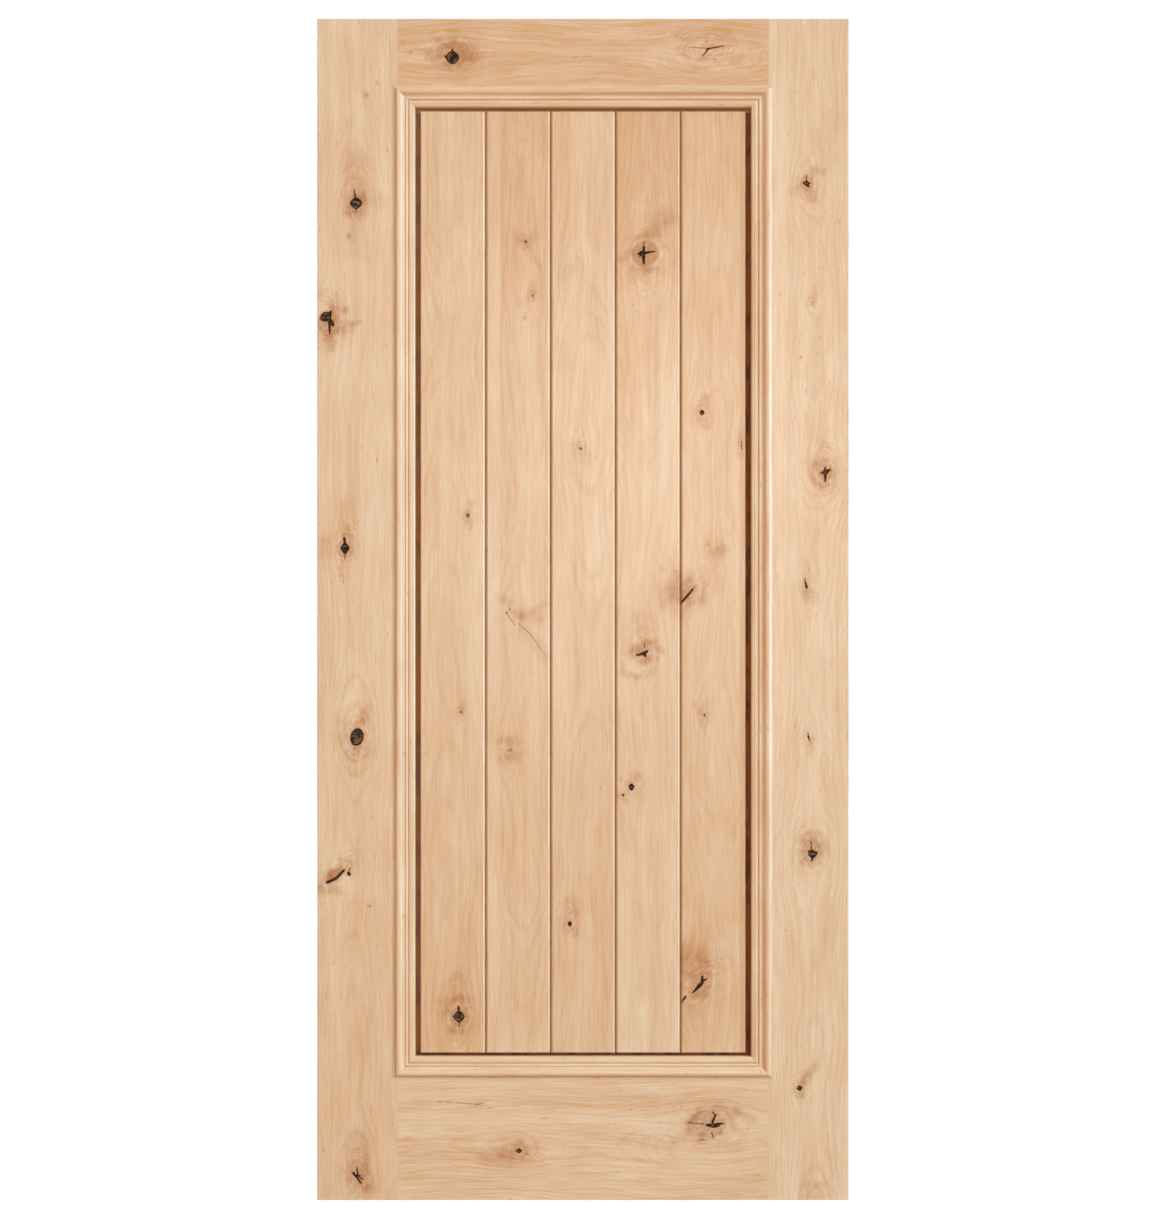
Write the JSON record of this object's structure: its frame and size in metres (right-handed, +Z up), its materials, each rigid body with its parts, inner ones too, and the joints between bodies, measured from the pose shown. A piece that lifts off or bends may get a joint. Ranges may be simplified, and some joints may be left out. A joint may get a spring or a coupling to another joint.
{
  "type": "timber wine cellar door leaf",
  "caption": "Panelled timber door leaf: a V-grooved plank panel held in ploughed stiles and rails, framed on both faces by raised mitred mouldings.",
  "frame": {"origin": "on the flat hinge edge of the leaf, at mid thickness and at its foot", "axes": "+X across the leaf from the hinge edge to the latch edge, +Y through the thickness from the front face to the back face, +Z up"},
  "size_m": [0.9144, 0.0554, 2.032],
  "materials": {
    "frame_wood": "sanded, unfinished",
    "panel_wood": "sanded, unfinished",
    "moulding_wood": "sanded, unfinished"
  },
  "bodies": {
    "root": {"left_stile": "frame_wood", "right_stile": "frame_wood", "top_rail": "frame_wood", "bottom_rail": "frame_wood", "plank_1": "panel_wood", "plank_2": "panel_wood", "plank_3": "panel_wood", "plank_4": "panel_wood", "plank_5": "panel_wood", "front_moulding_left": "moulding_wood", "front_moulding_right": "moulding_wood", "front_moulding_bottom": "moulding_wood", "front_moulding_top": "moulding_wood", "back_moulding_left": "moulding_wood", "back_moulding_right": "moulding_wood", "back_moulding_bottom": "moulding_wood", "back_moulding_top": "moulding_wood"}
  },
  "joints": []
}
